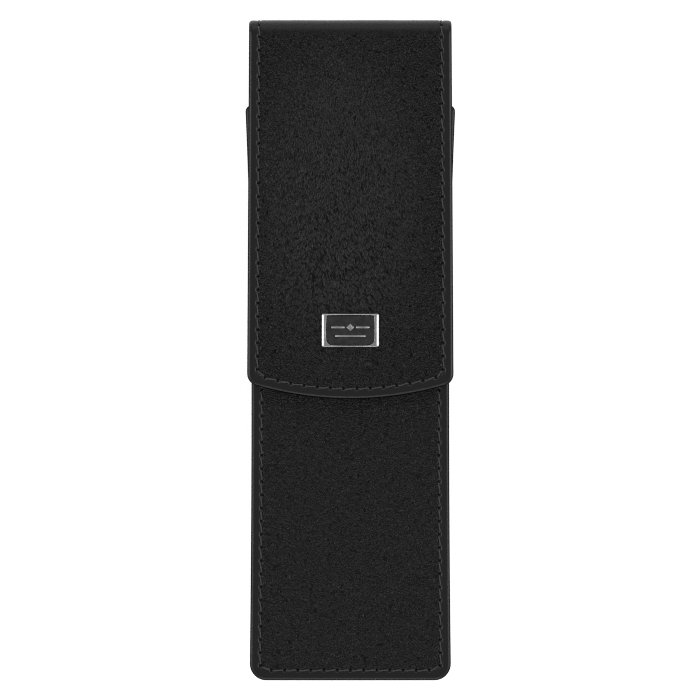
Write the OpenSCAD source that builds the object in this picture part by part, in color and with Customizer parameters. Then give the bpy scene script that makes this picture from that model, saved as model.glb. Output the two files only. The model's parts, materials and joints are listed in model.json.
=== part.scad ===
// Slim leather case for two fountain pens. A flat back, a flat front and a folded gusset between
// them make the pocket. The leather of the back runs on over the top as a roof and a long flap,
// which a hidden magnet holds shut.
// The case lies on its back: X is across it, +Y is its folded top, and Z rises out of its front.
// Every panel is a sandwich of outer leather, board and lining, sewn round its edge.

/* [Case] */
// Length from the bottom edge to the outside of the roof
case_length = 160; // [154:1:168]
// Width of the pocket at its mouth
mouth_width = 50.9; // [50:0.1:53]
// Width of the pocket at its waist
waist_width = 47.9; // [47:0.1:49]
// Width of the pocket at its bottom edge
bottom_width = 48.8; // [48:0.1:50]
// Length from the bottom edge to the pocket mouth
mouth_height = 139.4; // [134:0.2:141]
// Clear depth of the pocket, from the back lining to the front lining
pocket_depth = 13; // [11.5:0.5:15]
// Radius of the two bottom corners
bottom_corner = 4; // [3.5:0.5:6]

/* [Gusset] */
// Distance from the edge of a panel to the wall of the gusset
gusset_inset = 4.6; // [4.2:0.1:5.2]
// How far the wall of the gusset bows into the pocket
gusset_bow = 1.5; // [0:0.25:2]
// Thickness of the leather of the gusset
gusset_t = 0.6; // [0.5:0.05:0.8]

/* [Flap] */
// Width of the roof and of the top of the flap
flap_top_width = 49; // [47:0.2:49.6]
// Width of the flap at its free end
flap_end_width = 49.9; // [48:0.1:50.4]
// Length from the bottom edge to the lowest point of the flap
flap_reach = 68.2; // [60:0.2:76]
// Radius of the curved free edge
flap_edge_radius = 82; // [70:1:110]
// Radius of the two lower flap corners
flap_corner = 3; // [2.5:0.5:4]
// Outside radius of the two folds of the roof
fold_radius = 3.5; // [3.4:0.1:4.5]

/* [Layers] */
// Thickness of the outer leather
leather_t = 0.9; // [0.8:0.05:1]
// Thickness of the board in the back, roof and flap
board_t = 0.9; // [0.8:0.05:1]
// Thickness of the board in the front
front_board_t = 0.6; // [0.5:0.05:0.7]
// Thickness of the lining
lining_t = 0.5; // [0.4:0.05:0.6]

/* [Stitching] */
// Distance from one needle hole to the next
stitch_pitch = 3.2; // [2.8:0.1:4]
// Distance of the seam from the edge
stitch_inset = 2.45; // [2.2:0.05:2.7]
// Thickness of the thread on the outside
thread_d = 0.42; // [0.3:0.02:0.45]

/* [Closure and badge] */
// Diameter of the magnet in the flap
magnet_d = 8; // [6:0.5:8]
// Diameter of the steel disc in the front
keeper_d = 10; // [8:0.5:11]
// Width of the badge
badge_w = 13.9; // [13:0.1:16]
// Height of the badge
badge_h = 8.2; // [7.8:0.1:9]
// Length from the bottom edge to the middle of the badge
badge_height = 84.8; // [84:0.2:90]

/* [Hidden] */
$fn = 48;

glue = 0.05;            // glue line between two layers
cloth_gap = 0.3;        // air between the front and the closed flap
fold_gap = 0.9;         // angle left open at each side of a fold line
margin = 3.2;           // sewn margin, which holds no board
turned = margin - glue; // width of the leather that is turned in over the board
lining_inset = 0.8;     // the lining stops short of the turned edge
edge_r = 0.3;           // least radius left on a corner that is inset
shoulder_r = 1.6;       // corner radius at the two ends of the pocket mouth
bobbin_d = 0.3;         // thickness of the thread on the inside
clear = 0.02;           // clearance of a stitch in its groove
groove_w = 0.8;
groove_d = thread_d + 2*clear;

// Depths of the layers under the outer face of the back, roof and flap
board_e = leather_t + glue;
turned_e = board_e + board_t;
lining_e = turned_e + glue;
wrap_t = lining_e + lining_t;

y_bottom = -case_length/2;
y_top = case_length/2;
y_mouth = y_bottom + mouth_height;
y_waist = y_bottom + 70;
y_fold = y_top - fold_radius;
y_flap = y_bottom + flap_reach;
y_board_end = y_fold - 1.4;                   // boards stop short of the folds
z_front = wrap_t + pocket_depth;              // underside of the front
z_front_board = z_front + lining_t + glue;
z_front_skin = z_front_board + front_board_t + glue;
z_front_top = z_front_skin + leather_t;
z_flap = z_front_top + cloth_gap;             // underside of the closed flap
z_top = z_flap + wrap_t;
flap_taper = (flap_end_width - flap_top_width)/(2*(y_fold - y_flap));

function mirrored(points) = [for (i = [len(points) - 1:-1:0]) [-points[i].x, points[i].y]];
function arc(c, r, a0, a1, n = 8) = [for (i = [0:n]) let (a = a0 + (a1 - a0)*i/n) c + r*[cos(a), sin(a)]];

// Half width of the pocket: narrowest at the waist, wider at the bottom edge and at the mouth
function pocket_half(y) = y > y_waist
    ? waist_width/2 + (mouth_width - waist_width)/2*pow((y - y_waist)/(y_mouth - y_waist), 2)
    : waist_width/2 + (bottom_width - waist_width)/2*pow((y_waist - y)/(y_waist - y_bottom), 2);
function flap_half(y) = flap_top_width/2 + flap_taper*(y_fold - y);

// Plan of a pocket panel, inset by d from its edge
function pocket_side(d, corner) =
    let (r = max(edge_r, corner - d), q = max(edge_r, shoulder_r - d),
         y0 = y_bottom + d + r, y1 = y_mouth - d - q, n = 14)
    concat(arc([pocket_half(y0) - d - r, y0], r, -90, 0),
           [for (i = [1:n]) let (y = y0 + (y1 - y0)*i/n) [pocket_half(y) - d, y]],
           arc([pocket_half(y1) - d - q, y1], q, 0, 90, 5));
module pocket_plan(d = 0, corner = bottom_corner)
    polygon(concat(pocket_side(d, corner), mirrored(pocket_side(d, corner))));
// The back runs on past the mouth to the rear fold
module back_plan(d = 0, corner = bottom_corner, y_end = y_fold) {
    pocket_plan(d, corner);
    translate([d - flap_top_width/2, y_mouth - 10]) square([flap_top_width - 2*d, y_end - y_mouth + 10]);
}
// Plan of the flap: straight sides, and a free edge that is one wide arc with round corners
function flap_side(d, y_end) =
    let (w = flap_half(y_flap) - d, r = max(edge_r, flap_corner - d), R = flap_edge_radius - d,
         yc = y_flap + d + R, a = asin((w - r)/(R - r)), y_corner = yc - (R - r)*cos(a))
    concat(arc([0, yc], R, -90, a - 90, 9), arc([w - r, y_corner], r, a - 90, 0, 7),
           [[flap_half(y_end) - d, y_end]]);
module flap_plan(d = 0, y_end = y_fold) polygon(concat(flap_side(d, y_end), mirrored(flap_side(d, y_end))));

module slab(z0, z1) translate([0, 0, z0]) linear_extrude(z1 - z0) children();
// A shape drawn in the Y-Z plane, run across the case
module across(width) rotate([90, 0, 90]) linear_extrude(width, center = true) children();
// The same at the two side margins only
module at_margins(width) for (s = [-1, 1]) translate([s*(width - turned)/2, 0, 0]) across(turned) children();

// Part of a fold: between the depths e0 and e1 under its outer face, from angle a0 to a1
module fold_sector(centre, e0, e1, a0, a1) translate(centre) intersection() {
    difference() {
        circle(fold_radius - e0);
        circle(fold_radius - e1);
    }
    polygon([[0, 0], 9*[cos(a0), sin(a0)], 9*[cos((a0 + a1)/2), sin((a0 + a1)/2)], 9*[cos(a1), sin(a1)]]);
}
rear_fold = [y_fold, fold_radius];
front_fold = [y_fold, z_top - fold_radius];
module back_bend(e0, e1) fold_sector(rear_fold, e0, e1, -90, -45 - fold_gap);
module flap_bend(e0, e1) fold_sector(front_fold, e0, e1, 45 + fold_gap, 90);
module roof_section(e0, e1) {
    fold_sector(rear_fold, e0, e1, fold_gap - 45, 0);
    fold_sector(front_fold, e0, e1, 0, 45 - fold_gap);
    translate([y_top - e1, fold_radius]) square([e1 - e0, z_top - 2*fold_radius]);
}

// The stitches lie flush in shallow grooves, which run all the way round a panel
groove_in = stitch_inset + groove_w/2;
groove_out = stitch_inset - groove_w/2;
module back_groove(z0, z1) slab(z0, z1) difference() {
    back_plan(groove_out, 0);
    back_plan(groove_in, 0, y_fold + 1);
}
module front_groove(z0, z1) slab(z0, z1) difference() {
    pocket_plan(groove_out, 0);
    pocket_plan(groove_in, 0);
}
module flap_groove(z0, z1) slab(z0, z1) difference() {
    flap_plan(groove_out);
    flap_plan(groove_in, y_fold + 1);
}
module roof_groove() for (s = [-1, 1])
    translate([s*(flap_top_width/2 - stitch_inset) - groove_w/2, y_top - groove_d, fold_radius])
        cube([groove_w, 1, z_top - 2*fold_radius]);

// ---- back, roof and flap: one piece of leather on the real case, parted here at its two folds ----
module back_leather() color("#1b1b1c") difference() {
    union() {
        slab(0, leather_t) back_plan();
        slab(leather_t, turned_e) difference() {
            back_plan();
            back_plan(turned, y_end = y_fold + 1);
        }
        across(flap_top_width) back_bend(0, leather_t);
        at_margins(flap_top_width) back_bend(leather_t, turned_e);
    }
    back_groove(-1, groove_d);
}
module back_board() color("#8a7a62") slab(board_e, turned_e) back_plan(margin, y_end = y_board_end);
module back_lining() color("#26262a") {
    slab(lining_e, wrap_t) back_plan(lining_inset);
    across(flap_top_width - 2*lining_inset) back_bend(lining_e, wrap_t);
}

module roof_leather() color("#1b1b1c") difference() {
    union() {
        across(flap_top_width) roof_section(0, leather_t);
        at_margins(flap_top_width) roof_section(leather_t, turned_e);
    }
    roof_groove();
}
roof_board_end = fold_radius + 1.4;
module roof_board() color("#8a7a62") across(flap_top_width - 2*margin)
    translate([y_top - turned_e, roof_board_end]) square([board_t, z_top - 2*roof_board_end]);
module roof_lining() color("#26262a") across(flap_top_width - 2*lining_inset) roof_section(lining_e, wrap_t);

// ---- badge: a frame with two prongs, bent over a backing plate behind the leather ----
y_badge = y_bottom + badge_height;
badge_rise = 0.8;       // height of the frame above the leather
bevel = 0.45;           // width of the sloping edge of the frame
tray_floor = 0.3;       // thickness of the frame under the plate
plate_t = 0.25;
emblem_t = 0.1;
backing_t = 0.3;
prong_x = 5.4;          // distance of each prong from the middle
prong_w = 2.2;
prong_t = 0.35;
prong_turn = 2.4;       // length of the bent end of a prong
slot_clear = 0.12;      // clearance round a prong
window = [badge_w - 2.4, badge_h - 1.4];
recess = [badge_w - 0.7, 6.4];                // hole in the board for the backing plate
z_backing = z_top - leather_t - glue - backing_t;
z_plate = z_top + tray_floor + clear;
y_magnet = y_badge - recess.y/2 - magnet_d/2 - 1.1;
module badge_plan(w, h) translate([-w/2, y_badge - h/2]) square([w, h]);
module at_prongs(dx) for (s = [-1, 1]) translate([s*(prong_x - dx), y_badge]) children();
module prong_slots(z0, z1) slab(z0, z1) at_prongs(0)
    square([prong_t + 2*slot_clear, prong_w + 2*slot_clear], center = true);

module flap_leather() color("#1b1b1c") difference() {
    union() {
        slab(z_top - leather_t, z_top) flap_plan();
        slab(z_top - turned_e, z_top - leather_t) difference() {
            flap_plan();
            flap_plan(turned, y_fold + 1);
        }
        across(flap_top_width) flap_bend(0, leather_t);
        at_margins(flap_top_width) flap_bend(leather_t, turned_e);
    }
    flap_groove(z_top - groove_d, z_top + 1);
    prong_slots(z_flap, z_top + 1);
}
module flap_board() color("#8a7a62") difference() {
    slab(z_top - turned_e, z_top - board_e) flap_plan(margin, y_board_end);
    slab(z_flap, z_top) badge_plan(recess.x, recess.y);
    translate([0, y_magnet, z_flap]) cylinder(h = wrap_t, d = magnet_d + 0.2);
}
module flap_lining() color("#26262a") difference() {
    union() {
        slab(z_flap, z_flap + lining_t) flap_plan(lining_inset);
        across(flap_top_width - 2*lining_inset) flap_bend(lining_e, wrap_t);
    }
    flap_groove(z_flap - 1, z_flap + bobbin_d + 2*clear);
}
module flap_magnet() color("#9a9a9c") translate([0, y_magnet, z_top - turned_e]) cylinder(h = board_t, d = magnet_d);

module badge_frame() color("#c8c9cb") {
    difference() {
        hull() {
            slab(z_top, z_top + badge_rise - bevel) badge_plan(badge_w, badge_h);
            slab(z_top, z_top + badge_rise) badge_plan(badge_w - 2*bevel, badge_h - 2*bevel);
        }
        slab(z_top + tray_floor, z_top + 2) badge_plan(window.x, window.y);
    }
    slab(z_backing - glue - prong_t, z_top + tray_floor/2) at_prongs(0)
        square([prong_t, prong_w], center = true);
    slab(z_backing - glue - prong_t, z_backing - glue) at_prongs(prong_turn/2)
        square([prong_turn, prong_w], center = true);
}
module badge_plate() color("#3a3a3c") slab(z_plate, z_plate + plate_t) badge_plan(window.x - 0.1, window.y - 0.1);
// A plain ornament: a lozenge between two bars, with a thin rule below
module badge_emblem() color("#c8c9cb") slab(z_plate + plate_t + clear, z_plate + plate_t + clear + emblem_t)
    translate([0, y_badge]) {
        translate([0, 0.7]) rotate(45) square(1.3, center = true);
        for (s = [-1, 1]) translate([s*3, 0.7]) square([3.2, 0.4], center = true);
        translate([0, -1.4]) square([7.4, 0.3], center = true);
    }
module badge_backing() color("#b0b0b2") difference() {
    slab(z_backing, z_backing + backing_t) badge_plan(recess.x - 0.3, recess.y - 0.3);
    prong_slots(z_backing - 1, z_backing + 1);
}

// ---- front ----
module front_leather() color("#1b1b1c") difference() {
    union() {
        slab(z_front_skin, z_front_top) pocket_plan();
        slab(z_front_board, z_front_skin) difference() {
            pocket_plan();
            pocket_plan(turned);
        }
    }
    front_groove(z_front_top - groove_d, z_front_top + 1);
}
module front_board() color("#8a7a62") slab(z_front_board, z_front_board + front_board_t) difference() {
    pocket_plan(margin);
    translate([0, y_magnet]) circle(d = keeper_d + 0.2);
}
module front_lining() color("#26262a") slab(z_front, z_front + lining_t) pocket_plan(lining_inset);
module keeper_disc() color("#9a9a9c")
    translate([0, y_magnet, z_front_board]) cylinder(h = front_board_t, d = keeper_d);

// ---- gusset: a strip bent round three sides of the pocket, with a flange sewn to each panel ----
flange_inset = 0.5;     // the flanges stop short of the edges of the panels
gusset_corner = 1.2;    // radius of the wall at the two bottom corners
gusset_lining_t = 0.3;
gusset_z = [wrap_t + glue, z_front - glue];
y_gusset_end = y_mouth - 0.6;

// Right half of a line round the pocket, inset by d, from the middle of the bottom to the mouth
function gusset_half_line(d) =
    let (r = max(gusset_corner, bottom_corner - d), y0 = y_bottom + d + r, n = 12)
    concat([[0, y_bottom + d]], arc([pocket_half(y0) - d - r, y0], r, -90, 0, 6),
           [for (i = [1:n]) let (y = y0 + (y_gusset_end - y0)*i/n) [pocket_half(y) - d, y]]);
function gusset_line(d) = let (half = gusset_half_line(d), n = len(half) - 1)
    concat(mirrored([for (i = [1:n]) half[i]]), half);
// The wall at depth e inside its outer face, as [inset, height] points from the back to the front
function wall(e, lift) = let (z0 = gusset_z[0] + lift, z1 = gusset_z[1] - lift)
    [for (t = [0:1/6:1]) [gusset_inset + e + gusset_bow*sin(180*t), z0 + (z1 - z0)*t]];
function flanged(e, lift) =
    concat([[flange_inset, gusset_z[0] + lift]], wall(e, lift), [[flange_inset, gusset_z[1] - lift]]);

// A sheet between two faces, each a chain of [inset, height] points, run along the gusset's line
function quad(a, b, c, d) = [[a, b, c], [a, c, d]];
module gusset_sheet(inner, outer) {
    m = len(inner);
    chain = concat(inner, outer);
    lines = [for (p = chain) gusset_line(p[0])];
    n = len(lines[0]);
    function at(k, i) = 2*m*k + i;
    quads = concat(
        [for (k = [0:n - 2], i = [0:m - 2]) quad(at(k, i), at(k, i + 1), at(k + 1, i + 1), at(k + 1, i))],
        [for (k = [0:n - 2], i = [m:2*m - 2]) quad(at(k, i), at(k + 1, i), at(k + 1, i + 1), at(k, i + 1))],
        [for (k = [0:n - 2]) quad(at(k, 0), at(k + 1, 0), at(k + 1, m), at(k, m))],
        [for (k = [0:n - 2]) quad(at(k, m - 1), at(k, 2*m - 1), at(k + 1, 2*m - 1), at(k + 1, m - 1))],
        [for (i = [0:m - 2]) quad(at(0, i), at(0, i + m), at(0, i + m + 1), at(0, i + 1))],
        [for (i = [0:m - 2]) quad(at(n - 1, i), at(n - 1, i + 1), at(n - 1, i + m + 1), at(n - 1, i + m))]);
    polyhedron([for (k = [0:n - 1], i = [0:2*m - 1]) [lines[i][k].x, lines[i][k].y, chain[i][1]]],
               [for (pair = quads, triangle = pair) triangle]);
}
module gusset() color("#1b1b1c") gusset_sheet(flanged(gusset_t, 0), flanged(0, gusset_t));
module gusset_lining() color("#26262a")
    gusset_sheet(wall(gusset_t + glue + gusset_lining_t, 0), wall(gusset_t + glue, 0));

// ---- divider: a leather web between the two pens, glued to the back lining by its foot ----
web_t = 1.2;
foot = [10, 0.5];
divider_y = [y_bottom + 10, y_mouth - 8];
divider_corner = 4;
module pen_divider() color("#232326") {
    length = divider_y[1] - divider_y[0];
    rise = pocket_depth - 0.7;
    translate([-foot[0]/2, divider_y[0], wrap_t + glue]) cube([foot[0], length, foot[1]]);
    translate([0, divider_y[0], wrap_t + glue]) across(web_t) {
        square([length, rise - divider_corner]);
        square([length - divider_corner, rise]);
        translate([length - divider_corner, rise - divider_corner]) circle(divider_corner);
    }
}

// ---- thread: each stitch is a separate piece, from one needle hole to the next ----
hole_gap = 0.7;
module stitch(p, q, d) {
    run = q - p;
    reach = norm(run);
    translate(p + run*hole_gap/2/reach)
        rotate([0, acos(run.z/reach), atan2(run.y, run.x)]) cylinder(h = reach - hole_gap, d = d);
}
module seam(points, d) for (i = [1:len(points) - 1]) stitch(points[i - 1], points[i], d);
function stitches(length) = max(1, round(length/stitch_pitch));
function from_to(p, q) = let (n = stitches(norm(q - p))) [for (i = [0:n]) p + (q - p)*i/n];
function pocket_run(s, y0, y1, z) = let (n = stitches(y1 - y0))
    [for (i = [0:n]) let (y = y0 + (y1 - y0)*i/n) [s*(pocket_half(y) - stitch_inset), y, z]];
function flap_run(s, y0, y1, z) =
    from_to([s*(flap_half(y0) - stitch_inset), y0, z], [s*(flap_half(y1) - stitch_inset), y1, z]);

sink = thread_d/2 + clear;            // depth of an outer stitch in its groove
lift = bobbin_d/2 + clear;            // height of an inner stitch on the face under it
y_low = y_bottom + stitch_inset;
x_low = pocket_half(y_low) - stitch_inset;
y_seam_end = y_mouth - stitch_inset;
x_seam_end = pocket_half(y_seam_end) - stitch_inset;
module pocket_seam(z, d) {
    for (s = [-1, 1]) seam(pocket_run(s, y_low, y_seam_end, z), d);
    seam(from_to([-x_low, y_low, z], [x_low, y_low, z]), d);
}
module front_thread() color("#2b2b2e") pocket_seam(z_front_top - sink, thread_d);
module front_bobbin_thread() color("#2b2b2e") pocket_seam(gusset_z[1] - gusset_t - lift, bobbin_d);
module back_thread() color("#2b2b2e") pocket_seam(sink, thread_d);
module back_bobbin_thread() color("#2b2b2e") pocket_seam(gusset_z[0] + gusset_t + lift, bobbin_d);
module mouth_thread() color("#2b2b2e") {
    seam(from_to([-x_seam_end, y_seam_end, z_front_top - sink], [x_seam_end, y_seam_end, z_front_top - sink]), thread_d);
    inner = x_seam_end - 5;
    seam(from_to([-inner, y_seam_end, z_front - lift], [inner, y_seam_end, z_front - lift]), bobbin_d);
}
module back_top_thread() color("#2b2b2e") for (s = [-1, 1]) {
    seam(from_to([s*(flap_top_width/2 - stitch_inset), y_mouth, sink],
                 [s*(flap_top_width/2 - stitch_inset), y_fold, sink]), thread_d);
    seam(from_to([s*(flap_top_width/2 - stitch_inset), y_mouth, wrap_t + lift],
                 [s*(flap_top_width/2 - stitch_inset), y_fold, wrap_t + lift]), bobbin_d);
}
module roof_thread() color("#2b2b2e") for (s = [-1, 1]) {
    x = s*(flap_top_width/2 - stitch_inset);
    seam(from_to([x, y_top - sink, fold_radius], [x, y_top - sink, z_top - fold_radius]), thread_d);
    seam(from_to([x, y_top - wrap_t - lift, fold_radius], [x, y_top - wrap_t - lift, z_top - fold_radius]), bobbin_d);
}
free_seam_r = flap_edge_radius - stitch_inset;
free_seam_a = asin((flap_half(y_flap) - stitch_inset)/free_seam_r);
y_free_seam = y_flap + flap_edge_radius - free_seam_r*cos(free_seam_a);
module flap_seam(z, d) {
    for (s = [-1, 1]) seam(flap_run(s, y_free_seam, y_fold, z), d);
    n = stitches(2*free_seam_r*free_seam_a*PI/180);
    seam([for (i = [0:n]) let (a = free_seam_a*(2*i/n - 1))
        [free_seam_r*sin(a), y_flap + flap_edge_radius - free_seam_r*cos(a), z]], d);
}
module flap_thread() color("#2b2b2e") flap_seam(z_top - sink, thread_d);
module flap_bobbin_thread() color("#2b2b2e") flap_seam(z_flap + lift, bobbin_d);

back_leather();
back_board();
back_lining();
back_thread();
back_bobbin_thread();
back_top_thread();
gusset();
gusset_lining();
front_leather();
front_board();
front_lining();
front_thread();
front_bobbin_thread();
mouth_thread();
keeper_disc();
pen_divider();
roof_leather();
roof_board();
roof_lining();
roof_thread();
flap_leather();
flap_board();
flap_lining();
flap_thread();
flap_bobbin_thread();
flap_magnet();
badge_frame();
badge_plate();
badge_emblem();
badge_backing();
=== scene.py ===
import json

import bpy
import numpy as np
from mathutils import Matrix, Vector, noise
from mathutils.geometry import delaunay_2d_cdt


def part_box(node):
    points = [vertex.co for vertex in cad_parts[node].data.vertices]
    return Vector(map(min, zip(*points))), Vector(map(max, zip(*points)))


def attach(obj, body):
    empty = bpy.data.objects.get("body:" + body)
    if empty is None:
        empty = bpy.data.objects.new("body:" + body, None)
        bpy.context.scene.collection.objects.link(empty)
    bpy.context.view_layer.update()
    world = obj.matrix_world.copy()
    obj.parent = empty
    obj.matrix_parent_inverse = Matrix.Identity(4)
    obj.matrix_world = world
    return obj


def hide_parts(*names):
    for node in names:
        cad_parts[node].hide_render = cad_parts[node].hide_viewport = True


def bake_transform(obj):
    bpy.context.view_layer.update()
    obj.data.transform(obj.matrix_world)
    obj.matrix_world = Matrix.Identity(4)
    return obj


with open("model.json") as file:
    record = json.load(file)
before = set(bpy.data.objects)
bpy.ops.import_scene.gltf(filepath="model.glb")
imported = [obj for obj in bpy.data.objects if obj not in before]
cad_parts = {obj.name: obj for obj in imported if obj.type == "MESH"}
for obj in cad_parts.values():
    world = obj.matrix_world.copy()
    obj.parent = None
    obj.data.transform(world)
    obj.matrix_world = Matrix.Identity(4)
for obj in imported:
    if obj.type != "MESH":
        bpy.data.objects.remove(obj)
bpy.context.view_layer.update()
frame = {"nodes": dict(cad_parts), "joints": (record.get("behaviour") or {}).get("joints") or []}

# Lengths below are in millimetres; meshes are written in metres. A panel is drawn flat, as plan
# points (x, length), and then placed: the back, roof and flap are wrapped round the two folds.
MM = 0.001


def cad(node):
    """Lowest and highest corner of a CAD node at rest, in millimetres."""
    low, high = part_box(node)
    return np.array(low)/MM, np.array(high)/MM


# ---- sizes read from the frame ----
hinge = {joint["name"]: np.array(joint["pos_m"])/MM for joint in frame["joints"]}
Y_BOTTOM = cad("back_leather")[0][1]
Y_TOP = cad("roof_leather")[1][1]
Z_TOP = cad("flap_leather")[1][2]
Z_FRONT_TOP = cad("front_leather")[1][2]
Z_FRONT = cad("front_lining")[0][2]
FRONT_T = Z_FRONT_TOP - Z_FRONT                       # front, all layers
FOLD_R = hinge["roof_hinge"][2]/(1 - np.sqrt(0.5))    # outside radius of a fold
Y_FOLD = Y_TOP - FOLD_R
MOUTH = cad("front_leather")[1][1] - Y_BOTTOM         # length from the bottom edge to the mouth
FLAP_END = cad("flap_leather")[0][1]
ROOF_HALF = cad("roof_leather")[1][0]
FLAP_HALF = cad("flap_leather")[1][0]

# ---- sizes of the design that the frame's boxes don't give ----
MOUTH_HALF, WAIST_HALF, BOTTOM_HALF = 25.45, 23.95, 24.4
WAIST = 70                # length from the bottom edge to the waist
BOTTOM_CORNER = 4
SHOULDER = 1.6            # corner radius at the ends of the mouth
FREE_EDGE_R = 82          # radius of the flap's curved free edge
FLAP_CORNER = 3
LEATHER_T = 0.9
LINING_T = 0.5
WRAP_T = 2.4              # back, roof and flap, all layers
TURNED_IN = 3.15          # width of leather turned in behind a panel
TURNED_T = {"wrap": 1.85, "front": 1.55}
SEAM_INSET = 2.45
LINING_INSET = 0.8
GLUE = 0.05               # glue line between two layers
PITCH = 3.2               # from one needle hole to the next
EDGE_STEP = 0.32          # spacing of points round a panel

# developed lengths along the outer face: back, rear fold, roof, front fold, flap
S_REAR = Y_FOLD - Y_BOTTOM
S_ROOF = S_REAR + FOLD_R*np.pi/2
S_FRONT = S_ROOF + Z_TOP - 2*FOLD_R
S_FLAP = S_FRONT + FOLD_R*np.pi/2
S_END = S_FLAP + Y_FOLD - FLAP_END
S_MIDDLE = (S_ROOF + S_FRONT)/2                       # the two halves of the wrap meet here


def smooth(low, high, value):
    t = np.clip((value - low)/(high - low), 0, 1)
    return t*t*(3 - 2*t)


def bell(value, centre, width):
    return np.exp(-((value - centre)/width)**2)


# ---- placing a plan point at depth e under the outer face ----
def wrap(plan, e):
    x, s = plan[:, 0], plan[:, 1]
    e = np.broadcast_to(e, s.shape)
    rear = (s - S_REAR)/FOLD_R - np.pi/2
    front = (s - S_FRONT)/FOLD_R
    radius = FOLD_R - e
    where = [s < S_REAR, s < S_ROOF, s < S_FRONT, s < S_FLAP]
    y = np.select(where, [Y_BOTTOM + s, Y_FOLD + radius*np.cos(rear), Y_TOP - e,
                          Y_FOLD + radius*np.cos(front)], Y_FOLD - (s - S_FLAP))
    z = np.select(where, [e, FOLD_R + radius*np.sin(rear), FOLD_R + s - S_ROOF,
                          Z_TOP - FOLD_R + radius*np.sin(front)], Z_TOP - e)
    return np.stack([x, y, z], 1)


def flat_at(z, sign):
    """Places plan points of the pocket at height z; depth goes down where sign is 1, up where it is -1."""
    def place(plan, e):
        return np.stack([plan[:, 0], Y_BOTTOM + plan[:, 1], z - sign*np.broadcast_to(e, len(plan))], 1)
    return place


on_front = flat_at(Z_FRONT_TOP, 1)


# ---- outlines: plan points of a panel's edge, inset by d, in the same number for every d ----
def run(p, q, n):
    t = np.linspace(0, 1, n + 1)[:, None]
    return np.array(p)*(1 - t) + np.array(q)*t


def arc(cx, cy, r, a0, a1, n):
    a = np.radians(np.linspace(a0, a1, n + 1))
    return np.stack([cx + r*np.cos(a), cy + r*np.sin(a)], 1)


def chain(*parts):
    return np.concatenate([parts[0]] + [p[1:] for p in parts[1:]])


def both_sides(half, closed=False):
    """A whole outline from its right half, which starts on the middle line."""
    left = half[1:-1] if closed else half[1:]
    return np.concatenate([half, left[::-1]*[-1, 1]] if closed else [left[::-1]*[-1, 1], half])


def reach_along(line):
    """Length along a line to each of its points."""
    return np.concatenate([[0], np.cumsum(np.hypot(*np.diff(line, axis=0).T))])


def steps(length):
    return max(2, round(length/EDGE_STEP))


def pocket_half(l):
    """Half width of the pocket at length l: narrowest at the waist."""
    above = WAIST_HALF + (MOUTH_HALF - WAIST_HALF)*((l - WAIST)/(MOUTH - WAIST))**2
    below = WAIST_HALF + (BOTTOM_HALF - WAIST_HALF)*((WAIST - l)/WAIST)**2
    return np.where(l > WAIST, above, below)


def pocket_side(d, end, least=0.3):
    """From the middle of the bottom edge, round the corner and up the side to a length of end."""
    r = max(least, BOTTOM_CORNER - d)
    x = pocket_half(d + r) - d
    lengths = np.linspace(d + r, end, steps(MOUTH) + 1)
    return chain(run((0, d), (x - r, d), steps(BOTTOM_HALF)), arc(x - r, d + r, r, -90, 0, 10),
                 np.stack([pocket_half(lengths) - d, lengths], 1))


def front_outline(d):
    q = max(0.3, SHOULDER - d)
    side = pocket_side(d, MOUTH - d - q)
    x = side[-1][0]
    return both_sides(chain(side, arc(x - q, MOUTH - d - q, q, 0, 90, 8),
                            run((x - q, MOUTH - d), (0, MOUTH - d), steps(MOUTH_HALF))), closed=True)


def lower_outline(d):
    """The back, with the rear fold and the lower half of the roof."""
    q = max(0.3, SHOULDER - d)
    side = pocket_side(d, MOUTH - d - q)
    x = side[-1][0]
    turn = np.degrees(np.arccos(np.clip((ROOF_HALF - d - x + q)/q, 0, 1)))
    shoulder = arc(x - q, MOUTH - d - q, q, 0, turn, 8)
    corner = (ROOF_HALF - d, shoulder[-1][1])
    return both_sides(chain(side, shoulder, run(shoulder[-1], corner, 2),
                            run(corner, (ROOF_HALF - d, S_MIDDLE), steps(S_MIDDLE - MOUTH))))


def upper_outline(d):
    """The flap, with the front fold and the upper half of the roof."""
    r, big = max(0.3, FLAP_CORNER - d), FREE_EDGE_R - d
    w = FLAP_HALF - d
    a = np.degrees(np.arcsin((w - r)/(big - r)))
    corner = arc(w - r, d + big - (big - r)*np.cos(np.radians(a)), r, a - 90, 0, 10)
    fold = S_END - S_FLAP
    half = chain(arc(0, d + big, big, -90, a - 90, steps(FLAP_HALF)), corner,
                 run(corner[-1], (ROOF_HALF - d, fold), steps(fold)),
                 run((ROOF_HALF - d, fold), (ROOF_HALF - d, S_END - S_MIDDLE), steps(S_FLAP - S_MIDDLE)))
    return both_sides(half*[1, -1] + [0, S_END])[::-1]


# ---- meshes ----
def nearest(points, targets):
    """Distance from each point to the closest of the targets."""
    gaps = [np.hypot(*(points[i:i + 500, None] - targets[None]).transpose(2, 0, 1)).min(1)
            for i in range(0, len(points), 500)]
    return np.concatenate(gaps)


def add_mesh(name, points, faces, uv, grain, edge=0.0):
    """An object from points and flat coordinates in millimetres, with the strength of the grain and the
    mattness of the edge at each point."""
    mesh = bpy.data.meshes.new(name)
    mesh.from_pydata((np.asarray(points)*MM).tolist(), [], faces)
    corner = np.zeros(len(mesh.loops), int)
    mesh.loops.foreach_get("vertex_index", corner)
    layer = mesh.uv_layers.new(name="metric")
    layer.data.foreach_set("uv", (np.asarray(uv)[corner]*MM).astype(np.float32).ravel())
    for label, value in (("grain", grain), ("edge", edge)):
        mesh.attributes.new(label, "FLOAT", "POINT").data.foreach_set(
            "value", np.broadcast_to(value, len(points)).astype(np.float32))
    mesh.polygons.foreach_set("use_smooth", np.ones(len(mesh.polygons), bool))
    mesh.update()
    piece = bpy.data.objects.new(name, mesh)
    bpy.context.scene.collection.objects.link(piece)
    return piece


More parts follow.
